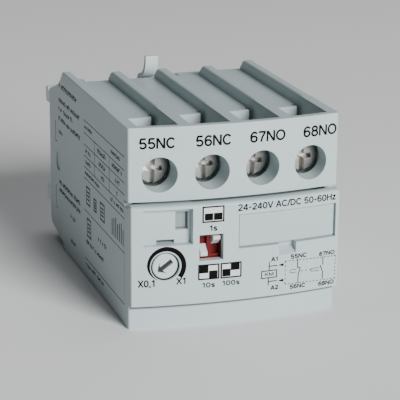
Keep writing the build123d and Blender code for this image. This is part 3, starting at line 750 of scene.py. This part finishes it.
sideTable = {"rear": 33.8, "front": 2.5, "levels": (35.8, 33.0, 30.4, 27.9, 25.4, 22.9, 15.6, 4.5),
             "rule": 0.16, "columns": (25.1, 13.6), "columnFoot": 25.4, "columnTop": 33.0, "columnRule": 0.14}
for level in sideTable["levels"]:
    side.line(sidePoint(sideTable["rear"], level), sidePoint(sideTable["front"], level), sideTable["rule"])
for y in sideTable["columns"]:
    foot, top = sidePoint(y, sideTable["columnFoot"]), sidePoint(y, sideTable["columnTop"])
    side.line(foot, top, sideTable["columnRule"])

plainBoxes = {"line": 0.34, "barHalf": 0.3, "bars": (-0.22, 0, 0.22), "places": [  # middle, width and height
    (30.6, 19.4, 2.9, 3.8), (25.0, 19.0, 2.0, 2.6), (19.2, 19.2, 3.2, 3.6), (30.2, 12.2, 3.0, 3.9)]}
for y, z, wide, tall in plainBoxes["places"]:
    u, v = sidePoint(y, z)
    side.frameBox((u - wide / 2, v - tall / 2), (u + wide / 2, v + tall / 2), plainBoxes["line"])
    reach = wide * plainBoxes["barHalf"]
    for step in plainBoxes["bars"]:
        side.line((u - reach, v + tall * step), (u + reach, v + tall * step), plainBoxes["line"])
uprights = {"count": 7, "rear": 11.6, "pitch": 1.35, "foot": 16.8, "top": 20.2, "step": 0.5, "wide": 0.42}
for i in range(uprights["count"]):
    u = sidePoint(uprights["rear"] - uprights["pitch"] * i, 0)[0]
    side.line((u, uprights["foot"]), (u, uprights["top"] + (i % 3) * uprights["step"]), uprights["wide"])
side.finish()
print("side printing done")


# terminal screws: turned head with slot and cross, and a real thread
screwShape = {"head": 3.4, "headTall": 2.2, "edge": 0.55, "slotWide": 1.1, "slotDeep": 1.7, "crossLong": 4.2,
              "root": 1.48, "crest": 1.75, "pitch": 0.6, "shank": 6.15, "ridge": 0.15, "threadFrom": 0.4,
              "threadShort": 0.9, "headCorners": 72, "shankCorners": 40, "threadSteps": 32, "sharpOver": 35}


def screwGroup():
    group, tree, port = nodeGroup("terminalScrew", [
        ("Centre", "Vector"), ("Turn", "Float"), ("Head radius", "Float"), ("Head height", "Float"),
        ("Edge radius", "Float"), ("Slot width", "Float"), ("Slot depth", "Float"), ("Cross length", "Float"),
        ("Root radius", "Float"), ("Crest radius", "Float"), ("Shank length", "Float"),
        ("Thread turns", "Float"), ("Material", "Material")])
    # the axis is Z while it is made, head up, its underside at 0
    head = tree.add("GeometryNodeMeshCylinder", {}, {
        "Vertices": screwShape["headCorners"], "Side Segments": 14, "Fill Segments": 1,
        "Radius": port["Head radius"], "Depth": port["Head height"]})
    raised = tree.moved(head, Translation=tree.vector(Z=port["Head height"] * 0.5))
    place = tree.add("ShaderNodeSeparateXYZ", {}, {"Vector": tree.add("GeometryNodeInputPosition")})
    x, y, z = place, place.other("Y"), place.other("Z")
    deep = (port["Head height"] - z).least(port["Edge radius"])
    short = port["Edge radius"] - deep
    pull = port["Edge radius"] - (port["Edge radius"] * port["Edge radius"] - short * short).root()
    keep = (port["Head radius"] - pull) / port["Head radius"]
    rounded = tree.add("GeometryNodeSetPosition", {}, {
        "Geometry": raised, "Position": tree.vector(X=x * keep, Y=y * keep, Z=z)})
    # the slot runs right across the head, the cross stops short of its edge
    cutHead = tree.add("GeometryNodeMeshBoolean", {"operation": "DIFFERENCE", "solver": "EXACT"},
                       {"Mesh 1": rounded})
    for long, turn in ((port["Head radius"] * 2.4, 0.0), (port["Cross length"], math.pi / 2)):
        cube = tree.add("GeometryNodeMeshCube", {}, {
            "Size": tree.vector(X=long, Y=port["Slot width"], Z=port["Slot depth"] * 2)})
        bar = tree.moved(cube, Rotation=(0, 0, turn), Translation=tree.vector(Z=port["Head height"]))
        tree.links.new(bar.socket, cutHead.socket.node.inputs["Mesh 2"])
    core = tree.add("GeometryNodeMeshCylinder", {}, {
        "Vertices": screwShape["shankCorners"], "Radius": port["Root radius"], "Depth": port["Shank length"]})
    shank = tree.moved(core, Translation=tree.vector(Z=port["Shank length"] * -0.5))
    middle = port["Crest radius"] - screwShape["ridge"]
    helix = tree.add("GeometryNodeCurveSpiral", {}, {
        "Resolution": screwShape["threadSteps"], "Rotations": port["Thread turns"], "Start Radius": middle,
        "End Radius": middle, "Height": port["Shank length"] - screwShape["threadShort"]})
    ridge = tree.add("GeometryNodeCurvePrimitiveCircle", {"mode": "RADIUS"},
                     {"Resolution": 4, "Radius": screwShape["ridge"]})
    thread = tree.add("GeometryNodeCurveToMesh", {}, {"Curve": helix, "Profile Curve": ridge, "Fill Caps": True})
    lowered = tree.moved(thread, Translation=tree.vector(
        Z=port["Shank length"] * -1.0 + screwShape["threadFrom"]))
    spun = tree.moved(tree.together((cutHead, shank, lowered)), Rotation=tree.vector(Z=port["Turn"]))
    laid = tree.moved(spun, Rotation=(math.pi / 2, 0, 0), Scale=(mm, mm, mm), Translation=port["Centre"])
    endGroup(tree, laid, port["Material"])
    return group


terminalScrew = screwGroup()
screwTurns = {"55": 88, "56": 93, "67": 86, "68": 91}
for number, turn in screwTurns.items():
    low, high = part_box("terminal_screw_" + number)
    middle = (low + high) / 2
    under = low.y + screwShape["headTall"] * mm
    screw = runGroup(terminalScrew, "clampScrew" + number, {
        "Centre": Vector((middle.x, under, middle.z)), "Turn": math.radians(turn),
        "Head radius": screwShape["head"], "Head height": screwShape["headTall"],
        "Edge radius": screwShape["edge"], "Slot width": screwShape["slotWide"],
        "Slot depth": screwShape["slotDeep"], "Cross length": screwShape["crossLong"],
        "Root radius": screwShape["root"], "Crest radius": screwShape["crest"],
        "Shank length": screwShape["shank"], "Thread turns": screwShape["shank"] / screwShape["pitch"],
        "Material": finishes["screw_steel"]})
    smoothFaces(screw, screwShape["sharpOver"])
    handOver(screw, "terminal_screw_" + number)
print("screws made")


# latch spring: closed end turns
latchSpring = {"wire": 0.2, "radius": 1.2, "turns": 6.5, "closed": 1.0, "front": 55.9, "rear": 60.75,
               "x": -0.75, "z": 22.0, "keep": 0.46, "steps": 26, "corners": 8, "sharpOver": 50}


def springPiece(look):
    bm = bmesh.new()
    corners = look["corners"]
    start, end = look["front"] + look["wire"], look["rear"] - look["wire"]
    close = look["wire"] * 2.0  # pitch of a closed turn
    total = round(look["turns"] * look["steps"])
    openRun = end - start - 2 * look["closed"] * close
    middle = look["turns"] - 2 * look["closed"]
    rings = []
    for i in range(total + 1):
        at = look["turns"] * i / total
        first, last = min(at, look["closed"]), max(at - look["turns"] + look["closed"], 0)
        y = start + (first + last) * close + (at - first - last) * openRun / middle - centreY
        angle = math.tau * at
        section = []
        for j in range(corners):
            b = math.tau * j / corners
            r = look["radius"] + look["wire"] * math.cos(b)
            section.append(bm.verts.new(Vector((look["x"] + r * math.cos(angle), y + look["wire"] * math.sin(b),
                                                look["z"] + r * math.sin(angle))) * mm))
        rings.append(section)
    for one, two in zip(rings, rings[1:]):
        for j in range(corners):
            k = (j + 1) % corners
            bm.faces.new((one[j], one[k], two[k], two[j]))
    bm.faces.new(rings[0][::-1])
    bm.faces.new(rings[-1])
    bmesh.ops.recalc_face_normals(bm, faces=bm.faces)
    return newPiece("latchSpring", bm, finishes["spring_steel"])


spring = springPiece(latchSpring)
smoothFaces(spring, latchSpring["sharpOver"])
handOver(spring, "latch_spring")
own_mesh(spring)
print("latch spring made")


# floor, light and camera
stageLook = {"floor": (0.84, 0.845, 0.85, 1), "floorDark": 0.98, "floorRough": 0.8, "floorSize": 4.0,
             "world": 0.04, "worldColour": (0.92, 0.95, 1.0, 1), "target": (0, 0, 0.02)}  # metres
lights = {"key": ((0.52, -1.78, 0.84), 0.8, 70.0), "fill": ((-0.7, -0.5, 0.5), 0.6, 0.05),
          "top": ((0.1, 0.25, 0.8), 0.6, 1.7)}  # place, size and power
bm = bmesh.new()
bmesh.ops.create_grid(bm, x_segments=1, y_segments=1, size=stageLook["floorSize"])
floorFinish, tree, shader, place = startFinish("paleFloor")
shade = tree.noise(place, 400, detail=2.0)
darker = tone(stageLook["floor"], stageLook["floorDark"])
tree.feed(shader.inputs["Base Color"], tree.blend(shade, darker, stageLook["floor"]))
shader.inputs["Roughness"].default_value = stageLook["floorRough"]
newPiece("floor", bm, floorFinish)


def softLight(name, place, aim, size, power):
    lamp = bpy.data.lights.new(name, "AREA")
    lamp.size, lamp.energy = size, power
    holder = bpy.data.objects.new(name, lamp)
    holder.location = place
    holder.rotation_euler = (Vector(aim) - Vector(place)).to_track_quat("-Z", "Y").to_euler()
    bpy.context.scene.collection.objects.link(holder)


for name, (place, size, power) in lights.items():
    softLight(name, place, stageLook["target"], size, power)
world = bpy.data.worlds.new("room")
world.use_nodes = True
backdrop = world.node_tree.nodes["Background"]
backdrop.inputs["Color"].default_value = stageLook["worldColour"]
backdrop.inputs["Strength"].default_value = stageLook["world"]
bpy.context.scene.world = world

view = {"place": (-114.305, -347.747, 128.686), "turn": (72.8981, -0.5137, -18.5819), "lens": 155.315,
        "sensor": 36}  # mm, degrees
lens = bpy.data.cameras.new("camera")
lens.lens, lens.sensor_width = view["lens"], view["sensor"]
camera = bpy.data.objects.new("camera", lens)
camera.location = Vector(view["place"]) * mm
camera.rotation_euler = [math.radians(a) for a in view["turn"]]
bpy.context.scene.collection.objects.link(camera)
bpy.context.scene.camera = camera
